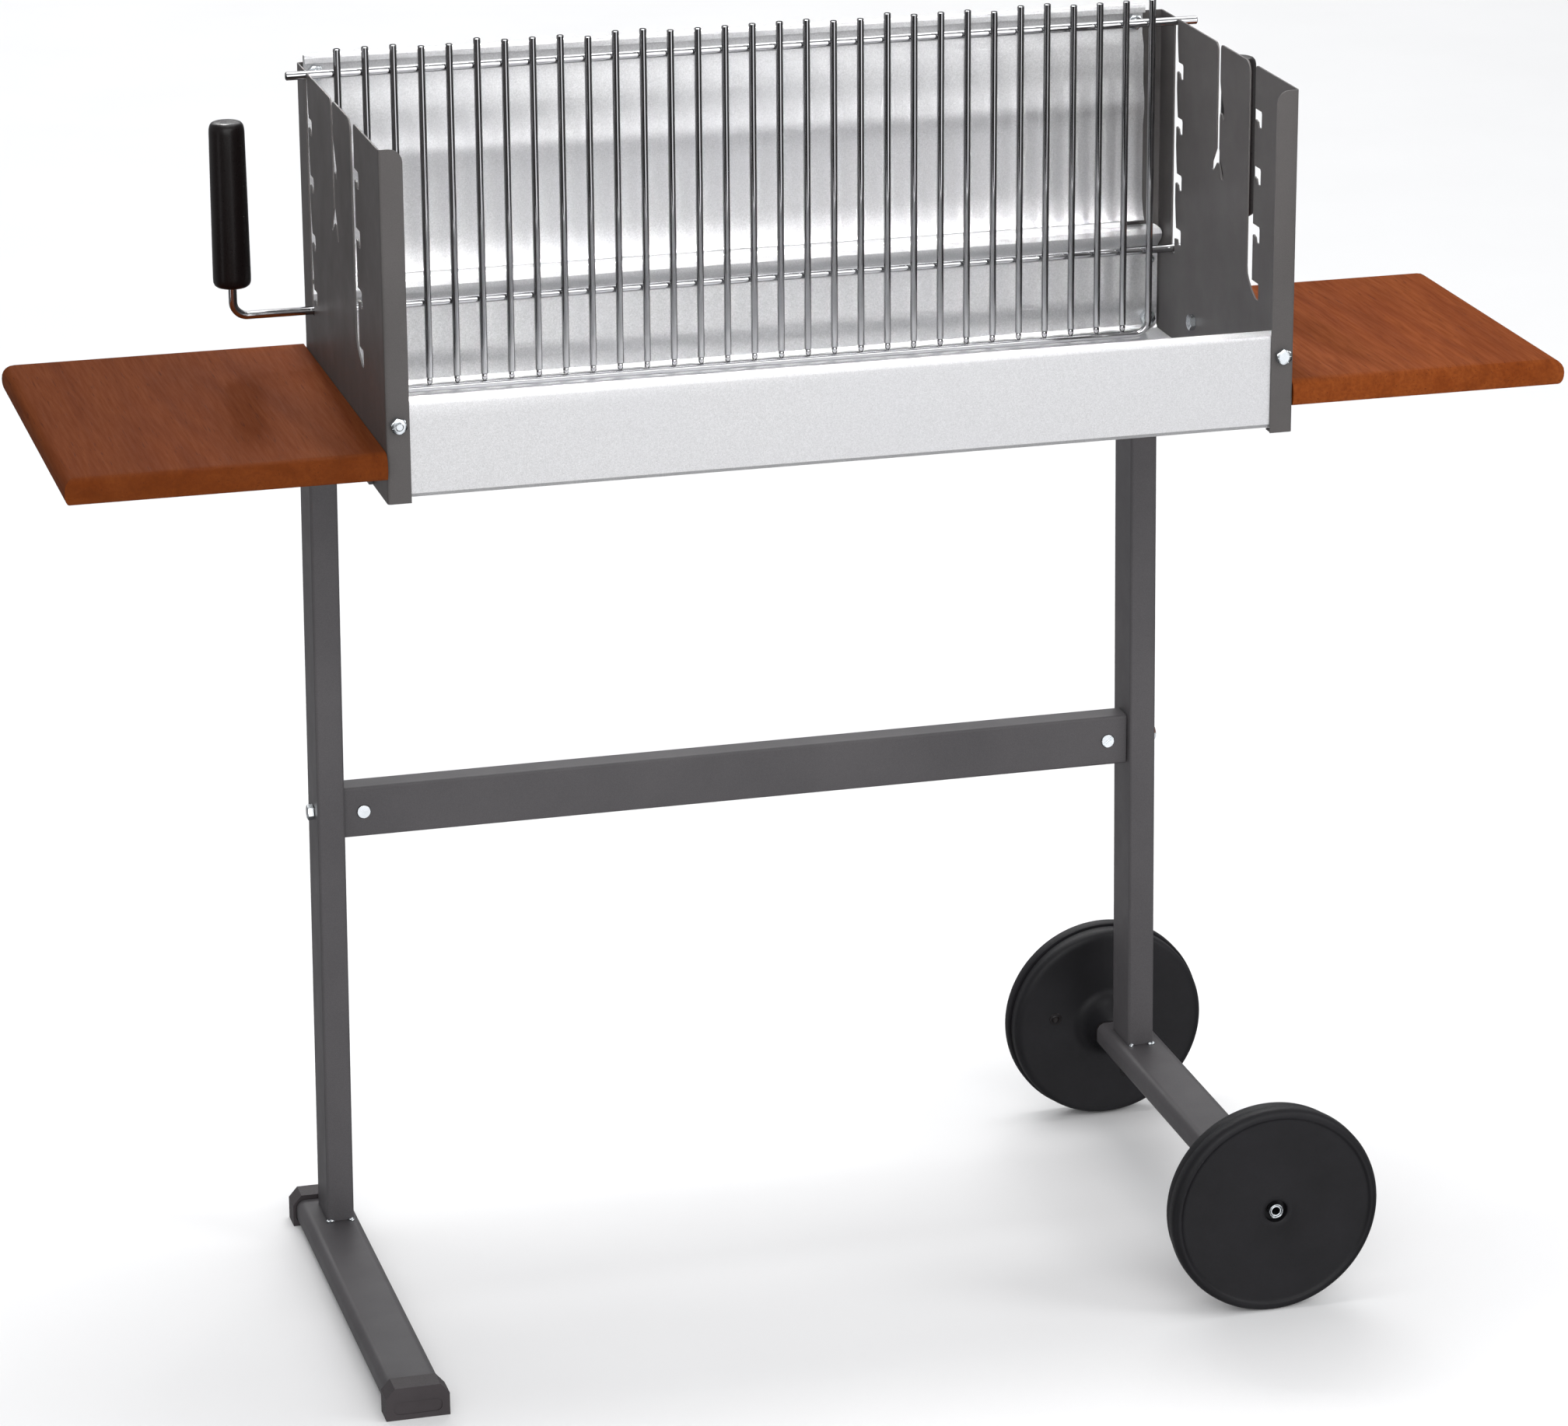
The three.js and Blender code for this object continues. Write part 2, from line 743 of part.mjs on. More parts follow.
function axlePlug(side) {
  const r = footTube.corner;
  const q = r - tubeWall - fit;
  const w = tubeWall + fit;
  const body = roundedRect(axleX - 20 + w, axleX + 20 - w,
    axleTubeBottom + w, axleTubeTop - w, [q, q, q, q]);
  const lid = roundedRect(axleX - 20, axleX + 20, axleTubeBottom, axleTubeTop, [r, r, r, r]);
  const end = side < 0 ? axleTubeFront : axleTubeBack;
  const span = (a, b) => [Math.min(end + side * a, end + side * b), Math.max(end + side * a, end + side * b)];
  return build([
    alongY(body, ...span(-14, 1), 4),
    alongY(lid, ...span(fit, 2), 4),
  ], [
    rod([axleX, -200, wheelRadius], [axleX, 200, wheelRadius], axleRodRadius + fit, 16),
  ]);
}

add('axle_plug_front', axlePlug(-1), looks.blackPlastic());
add('axle_plug_rear', axlePlug(1), looks.blackPlastic());

add('axle_rod', build([
  rod([axleX, wheelFaceFront + 1.2, wheelRadius], [axleX, wheelFaceRear - 1.2, wheelRadius],
    axleRodRadius, 16),
], [
  rod([axleX, wheelFaceFront - 2, wheelRadius], [axleX, wheelFaceRear + 2, wheelRadius],
    axleRodRadius - 1, 16),
]), looks.zinc());

// --------------------------------------------------------------------- wheels

// Half wheel as a turned shell. Profile points are [radius, distance from the
// outer face], mirrored to the side that the wheel is on.
function wheelHalf(profile, side) {
  const face = side < 0 ? -wheelFaceFront : wheelFaceRear;
  const turned = profile.map(([r, d]) => new THREE.Vector2(r, face - d));
  const geometry = new THREE.LatheGeometry(turned, 56);
  if (side < 0) geometry.rotateX(Math.PI);
  return build([geometry.translate(axleX, 0, wheelRadius)]);
}

const rim = wheelRadius;
const bore = axleRodRadius + 0.08; // running fit on the rod
const seam = 12;

const outerHalf = [
  [bore, 4.6],
  [bore, seam],
  [14, seam],
  [14, 4],
  [rim - 6, 4],
  [rim - 3.5, seam],
  [rim - 0.6, seam],
  [rim, seam - 1.2],
  [rim, 4.4],
  [rim - 0.7, 2.4],
  [rim - 2.2, 1],
  [rim - 4.6, 0.2],
  [rim - 8, 0],
  [6.2, 0],
  [5.7, 0.5],
  [5.7, 4.6],
  [bore, 4.6],
];

const innerHalf = [
  [bore, seam + fit],
  [bore, 53.6],
  [13, 53.6],
  [14.5, 50],
  [17.5, 40],
  [21, 31],
  [26, wheelThick + 1],
  [31, wheelThick],
  [rim - 8, wheelThick],
  [rim - 5, wheelThick - 0.4],
  [rim - 3, wheelThick - 1.6],
  [rim - 2, wheelThick - 3.8],
  [rim - 2, seam + 2],
  [rim - 2.6, seam + fit],
  [rim - 6, seam + fit],
  [rim - 6, wheelThick - 4],
  [14, wheelThick - 4],
  [14, seam + fit],
  [bore, seam + fit],
];

add('wheel_front_outer', wheelHalf(outerHalf, -1), looks.wheelPlastic());
add('wheel_front_inner', wheelHalf(innerHalf, -1), looks.wheelPlastic());
add('wheel_rear_outer', wheelHalf(outerHalf, 1), looks.wheelPlastic());
add('wheel_rear_inner', wheelHalf(innerHalf, 1), looks.wheelPlastic());

// Push-on ring that holds a wheel on the end of the axle rod.
const lockRing = [
  [4.12, 0.9],
  [4.12, 4.3],
  [5.5, 4.3],
  [5.5, 1],
  [5.1, 0.5],
  [4.5, 0.5],
  [4.12, 0.9],
];

add('wheel_front_lock_ring', wheelHalf(lockRing, -1), looks.zinc());
add('wheel_rear_lock_ring', wheelHalf(lockRing, 1), looks.zinc());

// -------------------------------------------------------------------- shelves

// Shelf board with its front and outer edges rounded over on top and a little
// below. The section is swept by cutting the two long edges with shaped bars.
function shelf(side, { outer, front, back }) {
  const inside = boxHalf + fit;
  const bottom = shelfTop - shelfThick;
  const depthSection = new THREE.Shape();
  depthSection.moveTo(front + 3, bottom);
  depthSection.lineTo(back, bottom);
  depthSection.lineTo(back, shelfTop);
  depthSection.lineTo(front + 9, shelfTop);
  depthSection.bezierCurveTo(front + 3, shelfTop, front, shelfTop - 4, front, shelfTop - 9);
  depthSection.bezierCurveTo(front, bottom + 4, front + 1, bottom + 1, front + 3, bottom);
  const widthSection = new THREE.Shape();
  widthSection.moveTo(inside, bottom);
  widthSection.lineTo(outer - 3, bottom);
  widthSection.bezierCurveTo(outer - 1, bottom + 1, outer, bottom + 4, outer, bottom + 9);
  widthSection.bezierCurveTo(outer, shelfTop - 4, outer - 3, shelfTop, outer - 9, shelfTop);
  widthSection.lineTo(inside, shelfTop);
  let across = alongY(widthSection, front - 5, back + 5, 5);
  if (side < 0) across = across.rotateZ(Math.PI).translate(0, front + back, 0);
  const along = alongX(depthSection, side > 0 ? inside : -outer - 5,
    side > 0 ? outer + 5 : -inside, 5);
  let body = solid(along).intersect(solid(across));
  for (const y of shelfBoltYs) {
    const hole = rod([side * (boxHalf - 5), y, shelfBoltZ], [side * (boxHalf + 32), y, shelfBoltZ], boltHole);
    body = body.subtract(solid(hole));
  }
  return surface(body);
}

add('shelf_left', shelf(-1, shelfLeft), looks.wood());
add('shelf_right', shelf(1, shelfRight), looks.wood());

// Steel strip under a shelf, turned down against the side panel.
function shelfBracket(side, y) {
  const bottom = shelfTop - shelfThick - fit;
  const near = boxHalf + fit;
  const section = bentSheet([
    [side * near, boxBottom + 1],
    [side * near, bottom],
    [side * (near + 150), bottom],
  ], side > 0 ? -3 : 3);
  const holeX = side * near;
  return build([alongY(section, y - 10, y + 10)], [
    rod([holeX - 5, y, 657], [holeX + 8, y, 657], 2),
    rod([side * (near + 110), y, 660], [side * (near + 110), y, 675], 2.2),
  ]);
}

add('shelf_bracket_left_front', shelfBracket(-1, -130), looks.darkPaint());
add('shelf_bracket_left_rear', shelfBracket(-1, 45), looks.darkPaint());
add('shelf_bracket_right_front', shelfBracket(1, -130), looks.darkPaint());
add('shelf_bracket_right_rear', shelfBracket(1, 45), looks.darkPaint());

function shelfBolt(side, y) {
  const inner = side * (boxHalf - panelSheet - fit);
  const far = side * (boxHalf - panelSheet - 4.4);
  return build([
    hexAcrossX(y, shelfBoltZ, Math.min(inner, far), Math.max(inner, far)),
    rod([side * (boxHalf - panelSheet - 2), y, shelfBoltZ], [side * (boxHalf + 28), y, shelfBoltZ],
      boltRadius),
  ]);
}

add('shelf_bolt_left_rear', shelfBolt(-1, shelfBoltYs[0]), looks.zinc());
add('shelf_bolt_left_front', shelfBolt(-1, shelfBoltYs[1]), looks.zinc());
add('shelf_bolt_right_rear', shelfBolt(1, shelfBoltYs[0]), looks.zinc());
add('shelf_bolt_right_front', shelfBolt(1, shelfBoltYs[1]), looks.zinc());

// ------------------------------------------------------------------ fasteners

// A long bolt from behind each leg holds the side panel and the tray.
function legBolt(side, tip) {
  return build([
    hexAcrossY(side * legBoltX, legBoltZ, legBack + fit, legBack + 4.3, 0.2),
    rod([side * legBoltX, tip, legBoltZ], [side * legBoltX, legBack + 2, legBoltZ], boltRadius),
  ]);
}

// A short bolt holds each top corner of the back plate to its side panel.
function plateBolt(x, tip) {
  return build([
    hexAcrossY(x, plateBoltZ, boxBack + fit, boxBack + 4.3, 0.2),
    rod([x, tip, plateBoltZ], [x, boxBack + 2, plateBoltZ], boltRadius),
  ]);
}

// A small round-headed screw holds each top corner of the tray's rear wall.
function trayScrew(side, seat) {
  const x = side * trayScrewX;
  return build([
    rod([x, seat, trayScrewZ], [x, seat - 2.4, trayScrewZ], 3.9, 16, 2.2),
    rod([x, seat - 1, trayScrewZ], [x, boxBack + 6, trayScrewZ], 2),
  ]);
}

const traySeat = trayWallBack - traySheet - fit;
const plateSeat = plateBack - traySheet - fit;

for (const [side, word] of [[-1, 'left'], [1, 'right']]) {
  add(`leg_bolt_${word}`, legBolt(side, traySeat - 7), looks.zinc());
  add(`leg_nut_${word}`, nutAcrossY(side * legBoltX, legBoltZ, traySeat - 4.8, traySeat, 0.35), looks.zinc());
  add(`tray_screw_${word}`, trayScrew(side, traySeat), looks.zinc());
  add(`plate_bolt_${word}`, plateBolt(plateBolts[word], plateSeat - 7), looks.zinc());
  add(`plate_nut_${word}`, nutAcrossY(plateBolts[word], plateBoltZ, plateSeat - 4.8, plateSeat, 0.35),
    looks.zinc());
}

// Tray bolts through the front flanges: the head is inside on the left and
// outside on the right.
function flangeBolt(side) {
  const x = side * (boxHalf - flangeFront / 2);
  const outside = boxFront - fit;
  const inside = apronFace + traySheet + fit;
  if (side > 0) {
    return build([
      hexAcrossY(x, 706, outside - 4, outside, 0.3),
      rod([x, outside - 2, 706], [x, inside + 7, 706], boltRadius),
    ]);
  }
  return build([
    hexAcrossY(x, 706, inside, inside + 4, 0.3),
    rod([x, outside - 6.3, 706], [x, inside + 2, 706], boltRadius),
  ]);
}

function flangeNut(side) {
  const x = side * (boxHalf - flangeFront / 2);
  const y0 = side > 0 ? apronFace + traySheet + fit : boxFront - fit - 5;
  return nutAcrossY(x, 706, y0, y0 + 5, 0.25);
}

add('flange_bolt_left', flangeBolt(-1), looks.zinc());
add('flange_bolt_right', flangeBolt(1), looks.zinc());
add('flange_nut_left', flangeNut(-1), looks.zinc());
add('flange_nut_right', flangeNut(1), looks.zinc());

grill.position.x = -middleX;

export default grill;
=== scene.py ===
import json
import math
import random

import bmesh
import bpy
from mathutils import Matrix, Vector


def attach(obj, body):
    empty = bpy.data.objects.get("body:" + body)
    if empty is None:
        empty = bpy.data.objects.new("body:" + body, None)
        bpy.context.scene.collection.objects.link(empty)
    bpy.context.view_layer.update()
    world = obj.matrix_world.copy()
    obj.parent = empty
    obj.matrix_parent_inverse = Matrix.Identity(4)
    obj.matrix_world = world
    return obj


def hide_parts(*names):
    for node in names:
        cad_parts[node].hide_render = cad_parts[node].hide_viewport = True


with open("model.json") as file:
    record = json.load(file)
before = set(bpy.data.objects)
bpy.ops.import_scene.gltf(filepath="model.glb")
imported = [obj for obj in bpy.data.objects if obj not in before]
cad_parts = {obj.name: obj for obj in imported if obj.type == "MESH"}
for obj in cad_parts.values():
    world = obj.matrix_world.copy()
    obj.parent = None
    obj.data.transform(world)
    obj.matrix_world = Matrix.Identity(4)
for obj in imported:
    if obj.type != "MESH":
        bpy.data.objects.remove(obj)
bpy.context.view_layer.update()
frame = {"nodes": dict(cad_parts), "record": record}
nodes = frame["nodes"]
scene = bpy.context.scene
MM = 0.001

# ---------------------------------------------------------------- materials


class Nodes:
    """A small helper that builds a node tree one node at a time."""

    def __init__(self, name):
        self.material = bpy.data.materials.new(name)
        self.material.use_nodes = True
        self.tree = self.material.node_tree
        self.shader = self.tree.nodes["Principled BSDF"]
        coords = self.tree.nodes.new("ShaderNodeTexCoord")
        self.object = coords.outputs["Object"]

    def plug(self, socket, value):
        if isinstance(value, bpy.types.NodeSocket):
            self.tree.links.new(value, socket)
        else:
            socket.default_value = value

    def mapped(self, scale=(1, 1, 1), rotation=(0, 0, 0)):
        node = self.tree.nodes.new("ShaderNodeMapping")
        self.plug(node.inputs["Vector"], self.object)
        node.inputs["Scale"].default_value = scale
        node.inputs["Rotation"].default_value = rotation
        return node.outputs["Vector"]

    def noise(self, vector, scale, detail=3.0, rough=0.55, distortion=0.0):
        node = self.tree.nodes.new("ShaderNodeTexNoise")
        self.plug(node.inputs["Vector"], vector)
        node.inputs["Scale"].default_value = scale
        node.inputs["Detail"].default_value = detail
        node.inputs["Roughness"].default_value = rough
        node.inputs["Distortion"].default_value = distortion
        return node.outputs["Fac"]

    def cells(self, vector, scale):
        node = self.tree.nodes.new("ShaderNodeTexVoronoi")
        self.plug(node.inputs["Vector"], vector)
        node.inputs["Scale"].default_value = scale
        return node.outputs["Color"]

    def ramp(self, value, stops):
        node = self.tree.nodes.new("ShaderNodeValToRGB")
        self.plug(node.inputs["Fac"], value)
        ramp = node.color_ramp
        while len(ramp.elements) < len(stops):
            ramp.elements.new(0.5)
        for element, (place, colour) in zip(ramp.elements, stops):
            element.position = place
            if isinstance(colour, (int, float)):
                colour = (colour, colour, colour)
            element.color = (*colour, 1.0)
        return node.outputs["Color"]

    def mix(self, factor, a, b, how="MIX"):
        node = self.tree.nodes.new("ShaderNodeMix")
        node.data_type = "RGBA"
        node.blend_type = how
        self.plug(node.inputs["Factor"], factor)
        for socket, value in ((node.inputs["A"], a), (node.inputs["B"], b)):
            if isinstance(value, tuple) and len(value) == 3:
                value = (*value, 1.0)
            self.plug(socket, value)
        return node.outputs["Result"]

    def bump(self, height, strength, distance, after=None):
        node = self.tree.nodes.new("ShaderNodeBump")
        self.plug(node.inputs["Height"], height)
        node.inputs["Strength"].default_value = strength
        node.inputs["Distance"].default_value = distance
        if after is not None:
            self.plug(node.inputs["Normal"], after)
        return node.outputs["Normal"]

    def finish(self, **sockets):
        for name, value in sockets.items():
            self.plug(self.shader.inputs[name.replace("_", " ")], value)
        return self.material


def paint_material(name, dark, light, rough):
    """Baked-on or powder-coated paint: a faint cloudiness and a fine orange peel."""
    n = Nodes(name)
    place = n.mapped()
    cloud = n.noise(place, 9.0, 4.0)
    colour = n.mix(n.ramp(cloud, [(0.35, 0.0), (0.65, 1.0)]), dark, light)
    grain = n.noise(place, 2400.0, 2.0)
    peel = n.noise(place, 420.0, 2.0)
    colour = n.mix(n.ramp(grain, [(0.3, 0.0), (0.75, 0.10)]), colour, (0.3, 0.29, 0.28))
    roughness = n.ramp(n.noise(place, 30.0, 3.0), [(0.3, rough - 0.05), (0.7, rough + 0.05)])
    normal = n.bump(peel, 0.10, 0.0003)
    normal = n.bump(grain, 0.12, 0.0001, normal)
    return n.finish(Base_Color=colour, Roughness=roughness, Normal=normal, Metallic=0.0,
                    Specular_IOR_Level=0.22)


def aluminised_material(name, tone):
    """Aluminium-coated sheet: a bright, fine speckle with a satin sheen."""
    n = Nodes(name)
    place = n.mapped()
    speck = n.noise(place, 1300.0, 3.0, 0.65)
    grain = n.cells(place, 900.0)
    cloud = n.noise(place, 7.0, 2.0)
    colour = n.ramp(speck, [(0.32, 0.50), (0.50, 0.61), (0.68, 0.74)])
    colour = n.mix(0.25, colour, n.ramp(grain, [(0.1, 0.48), (0.9, 0.76)]))
    colour = n.mix(n.ramp(cloud, [(0.35, 0.0), (0.65, 0.25)]), colour, (0.60, 0.605, 0.625))
    colour = n.mix(1.0, colour, (tone, tone, 1.01 * tone), "MULTIPLY")
    roughness = n.ramp(speck, [(0.3, 0.38), (0.7, 0.48)])
    normal = n.bump(speck, 0.16, 0.0002)
    return n.finish(Base_Color=colour, Roughness=roughness, Normal=normal, Metallic=0.64)


def plated_material(name, colour, tint, rough, drawn, rim):
    """Plated steel, with faint marks stretched by drawn; rim darkens its grazing angles."""
    n = Nodes(name)
    marks = n.noise(n.mapped(drawn), 160.0, 3.0)
    haze = n.noise(n.mapped(), 60.0, 3.0)
    base = n.mix(n.ramp(haze, [(0.35, 0.0), (0.7, 0.6)]), colour, tint)
    roughness = n.ramp(marks, [(0.35, rough), (0.75, rough + 0.09)])
    normal = n.bump(marks, 0.05, 0.0001)
    return n.finish(Base_Color=base, Roughness=roughness, Normal=normal, Metallic=1.0,
                    Specular_Tint=(rim, rim, rim, 1.0))


def plastic_material(name, dark, light, rough, grain_scale, depth):
    """Moulded plastic: fine spark-eroded grain and a slight colour drift."""
    n = Nodes(name)
    place = n.mapped()
    grain = n.noise(place, grain_scale, 3.0, 0.6)
    cloud = n.noise(place, 25.0, 3.0)
    colour = n.mix(n.ramp(cloud, [(0.3, 0.0), (0.7, 1.0)]), dark, light)
    roughness = n.ramp(grain, [(0.3, rough - 0.06), (0.7, rough + 0.06)])
    normal = n.bump(grain, depth, 0.0002)
    return n.finish(Base_Color=colour, Roughness=roughness, Normal=normal, Metallic=0.0,
                    Specular_IOR_Level=0.22)


WOOD_GROWTH = [
    (0.30, (0.120, 0.026, 0.0050)),
    (0.45, (0.148, 0.033, 0.0065)),
    (0.58, (0.172, 0.041, 0.0085)),
    (0.72, (0.136, 0.030, 0.0060)),
]
WOOD_FIGURE = (0.182, 0.047, 0.011)


def toned(colour, tone):
    return tuple(c * tone for c in colour)


def wood_material(name, shift, tone):
    """Red-brown stained softwood board: soft grain along the depth, pores and growth lines."""
    n = Nodes(name)
    skew = (0.0, 0.0, math.radians(5 + shift * 4))
    board = n.mapped((1.0, 0.12, 1.0), skew)
    fine = n.mapped((1.0, 0.05, 1.0), skew)
    growth = n.noise(board, 30.0 + shift * 5, 4.0, 0.55, 1.2)
    figure = n.noise(board, 11.0, 3.0, 0.5, 2.0)
    fibre = n.noise(fine, 420.0, 4.0, 0.6)
    pores = n.noise(fine, 900.0, 2.0, 0.5)
    # tone scales the whole board's colour; the shelves use it for painted shade and painted light
    base = n.ramp(growth, [(place, toned(colour, tone)) for place, colour in WOOD_GROWTH])
    base = n.mix(n.ramp(figure, [(0.35, 0.0), (0.65, 0.5)]), base, toned(WOOD_FIGURE, tone))
    base = n.mix(n.ramp(fibre, [(0.36, 0.35), (0.60, 0.0)]), base, (0.085, 0.019, 0.005))
    base = n.mix(n.ramp(pores, [(0.28, 0.6), (0.35, 0.0)]), base, (0.045, 0.012, 0.006))
    roughness = n.ramp(fibre, [(0.3, 0.72), (0.7, 0.58)])
    normal = n.bump(fibre, 0.22, 0.0003)
    normal = n.bump(pores, 0.30, 0.0004, normal)
    return n.finish(Base_Color=base, Roughness=roughness, Normal=normal, Metallic=0.0,
                    Specular_IOR_Level=0.02)


PANEL = paint_material("panel_paint", (0.064, 0.059, 0.058), (0.077, 0.071, 0.070), 0.46)
FRAME = paint_material("frame_paint", (0.055, 0.052, 0.056), (0.068, 0.064, 0.068), 0.42)
SHEET = aluminised_material("tray_sheet", 0.96)
PLATE = aluminised_material("plate_sheet", 0.93)
CHROME = plated_material("chrome_wire", (0.50, 0.50, 0.51), (0.43, 0.43, 0.44), 0.04,
                         (1, 1, 0.05), 0.15)
ZINC = plated_material("zinc", (0.66, 0.69, 0.71), (0.52, 0.56, 0.58), 0.20, (1, 1, 1), 1.0)
BLACK = plastic_material("black_plastic", (0.006, 0.004, 0.004), (0.009, 0.007, 0.007),
                         0.32, 900.0, 0.10)
CAP = plastic_material("cap_plastic", (0.040, 0.034, 0.036), (0.052, 0.045, 0.048),
                       0.48, 900.0, 0.15)
WHEEL = plastic_material("wheel_plastic", (0.0075, 0.0073, 0.0085), (0.011, 0.0105, 0.0125),
                         0.50, 700.0, 0.2)
# Both shelves are the same wood: the left one's colour is darkened (tone 0.77) as painted shade
# and the right one's lightened (tone 1.22) as painted light, for how the light falls on each
# side.
WOOD_LEFT_PAINTED_SHADE = wood_material("shelf_wood_left_painted_shade", 0, 0.77)
WOOD_RIGHT_PAINTED_LIGHT = wood_material("shelf_wood_right_painted_light", 1, 1.22)

BY_SLOT = {
    "panel_paint": PANEL, "frame_paint": FRAME, "aluminised_sheet": SHEET, "chrome_wire": CHROME,
    "zinc": ZINC, "black_plastic": BLACK, "wheel_plastic": WHEEL, "shelf_wood": WOOD_LEFT_PAINTED_SHADE,
}

# ------------------------------------------------------------- the CAD nodes

# How wide the rounded edge of each material is, in mm.
EDGE = {
    "panel_paint": 0.35, "frame_paint": 0.5, "aluminised_sheet": 0.25, "zinc": 0.35,
    "black_plastic": 0.6, "wheel_plastic": 0.5, "shelf_wood": 0.7,
}
EDGE_ANGLE = 35.0  # degrees; anything flatter is a bend and is shaded smooth


def crisp(obj, width):
    """Smooth bends, flat faces shaded flat, and a small rounded edge all round."""
    for polygon in obj.data.polygons:
        polygon.use_smooth = True
    weld = obj.modifiers.new("weld", "WELD")
    weld.merge_threshold = 1e-6
    bevel = obj.modifiers.new("edge", "BEVEL")
    bevel.width = width * MM
    bevel.segments = 2
    bevel.limit_method = "ANGLE"
    bevel.angle_limit = math.radians(EDGE_ANGLE)
    bevel.harden_normals = True
    bevel.use_clamp_overlap = True
    flats = obj.modifiers.new("flats", "WEIGHTED_NORMAL")
    flats.keep_sharp = True


for entry in frame["record"]["subparts"]:
    node, slot = nodes[entry["node"]], entry["material_slot"]
    node.data.materials.clear()
    node.data.materials.append(BY_SLOT[slot])
    if "custom_normal" in node.data.attributes:
        node.data.attributes.remove(node.data.attributes["custom_normal"])
    if slot != "chrome_wire":
        crisp(node, EDGE[slot])
# The right shelf takes the copy lightened with painted light; the left keeps the one darkened
# with painted shade.
nodes["shelf_right"].data.materials[0] = WOOD_RIGHT_PAINTED_LIGHT
nodes["back_plate"].data.materials[0] = PLATE
for name in ("foot_cap_front", "foot_cap_rear"):
    nodes[name].data.materials[0] = CAP

# ----------------------------------------------------------- piece building


def piece(name, mesh, material, body, slot, *stands_for):
    """Puts a mesh on a body, in place of the CAD nodes that it stands for."""
    obj = bpy.data.objects.new(name, mesh)
    scene.collection.objects.link(obj)
    mesh.materials.append(material)
    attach(obj, body)
    if stands_for:
        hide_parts(*stands_for)


def mesh_of(name, bm, sharp=EDGE_ANGLE):
    bmesh.ops.recalc_face_normals(bm, faces=bm.faces)
    mesh = bpy.data.meshes.new(name)
    bm.to_mesh(mesh)
    bm.free()
    for polygon in mesh.polygons:
        polygon.use_smooth = True
    mesh.set_sharp_from_angle(angle=math.radians(sharp))
    return mesh


def turned(bm, profile, place, segments=96):
    """Adds a closed turned ring or a solid of (radius, height) points, in mm."""
    rings = []
    for radius, height in profile:
        if radius < 1e-6:
            rings.append([bm.verts.new(place @ Vector((0, 0, height * MM)))])
            continue
        ring = []
        for k in range(segments):
            a = 2 * math.pi * k / segments
            ring.append(bm.verts.new(place @ Vector((
                radius * math.cos(a) * MM, radius * math.sin(a) * MM, height * MM))))
        rings.append(ring)
    pairs = list(zip(rings, rings[1:]))
    if len(rings[0]) > 1 and len(rings[-1]) > 1:
        pairs.append((rings[-1], rings[0]))
    for low, high in pairs:
        for k in range(segments):
            m = (k + 1) % segments
            corners = [low[k % len(low)], low[m % len(low)],
                       high[m % len(high)], high[k % len(high)]]
            unique = list(dict.fromkeys(corners))
            if len(unique) > 2:
                bm.faces.new(unique)


def tube(bm, points, radius, chamfer, segments=20):
    """Adds a round wire along points given in mm, with both ends chamfered."""
    path = [Vector(p) * MM for p in points]
    rings = []
    up = None
    for i, here in enumerate(path):
        ahead = path[min(i + 1, len(path) - 1)] - here
        behind = here - path[max(i - 1, 0)]
        along = (ahead.normalized() + behind.normalized()).normalized()
        if up is None:
            up = along.orthogonal().normalized()
        up = (up - along * up.dot(along)).normalized()
        side = along.cross(up)
        if i in (0, len(path) - 1):
            inward = along * chamfer * MM * (1 if i == 0 else -1)
            steps = [(0.0, radius - chamfer), (1.0, radius)]
            steps = steps if i == 0 else steps[::-1]
        else:
            inward, steps = Vector(), [(0.0, radius)]
        for t, r in steps:
            rings.append([bm.verts.new(here + inward * t + (
                up * math.cos(a) + side * math.sin(a)) * r * MM)
                for a in (2 * math.pi * k / segments for k in range(segments))])
    for low, high in zip(rings, rings[1:]):
        for k in range(segments):
            m = (k + 1) % segments
            bm.faces.new((low[k], low[m], high[m], high[k]))
    bm.faces.new(rings[0][::-1])
    bm.faces.new(rings[-1])


def arc(center, a, b, steps=12):
    """Quarter turn from center + a to center + b, as points."""
    c, a, b = Vector(center), Vector(a), Vector(b)
    return [tuple(c + a * math.cos(t) + b * math.sin(t))
            for t in (math.pi / 2 * k / steps for k in range(steps + 1))]


def blob(bm, center, size, segments=14):
    """Adds a small rounded weld spot, centre and half sizes in mm."""
    stretch = Matrix.Diagonal((*[s * MM for s in size], 1.0))
    bmesh.ops.create_uvsphere(bm, u_segments=segments, v_segments=8, radius=1.0,
                              matrix=Matrix.Translation(Vector(center) * MM) @ stretch)


# --------------------------------------------------------------------- grate
# All sizes below are in mm, up to the stage.

chance = random.Random(7)
MID = 7.0  # the middle of the fire box stands this far right of the whole object's middle
BAR_COUNT = 31
BAR_PITCH = 19.6
BAR_RADIUS = 2.5
BAR_CHAMFER = 0.5
BAR_Y = 57.9
BAR_FOOT_Z = 669.0
LEFT, RIGHT = MID - 294.0, MID + 294.0  # the outermost bars
RAIL_Z = 661.7  # the outermost bars bend into this bottom wire
BEND = 10.0
TOP_WIRE = {"y": 63.0, "z": 888, "half": 329, "radius": 3.0}
TOP_WELD_Y = 60.3
FOOT_WELD_Z = 667.0


def bar_top(i):
    """The bars are cut a little unevenly."""
    return 906 + (i % 3) * 0.8 - (i % 5) * 0.5


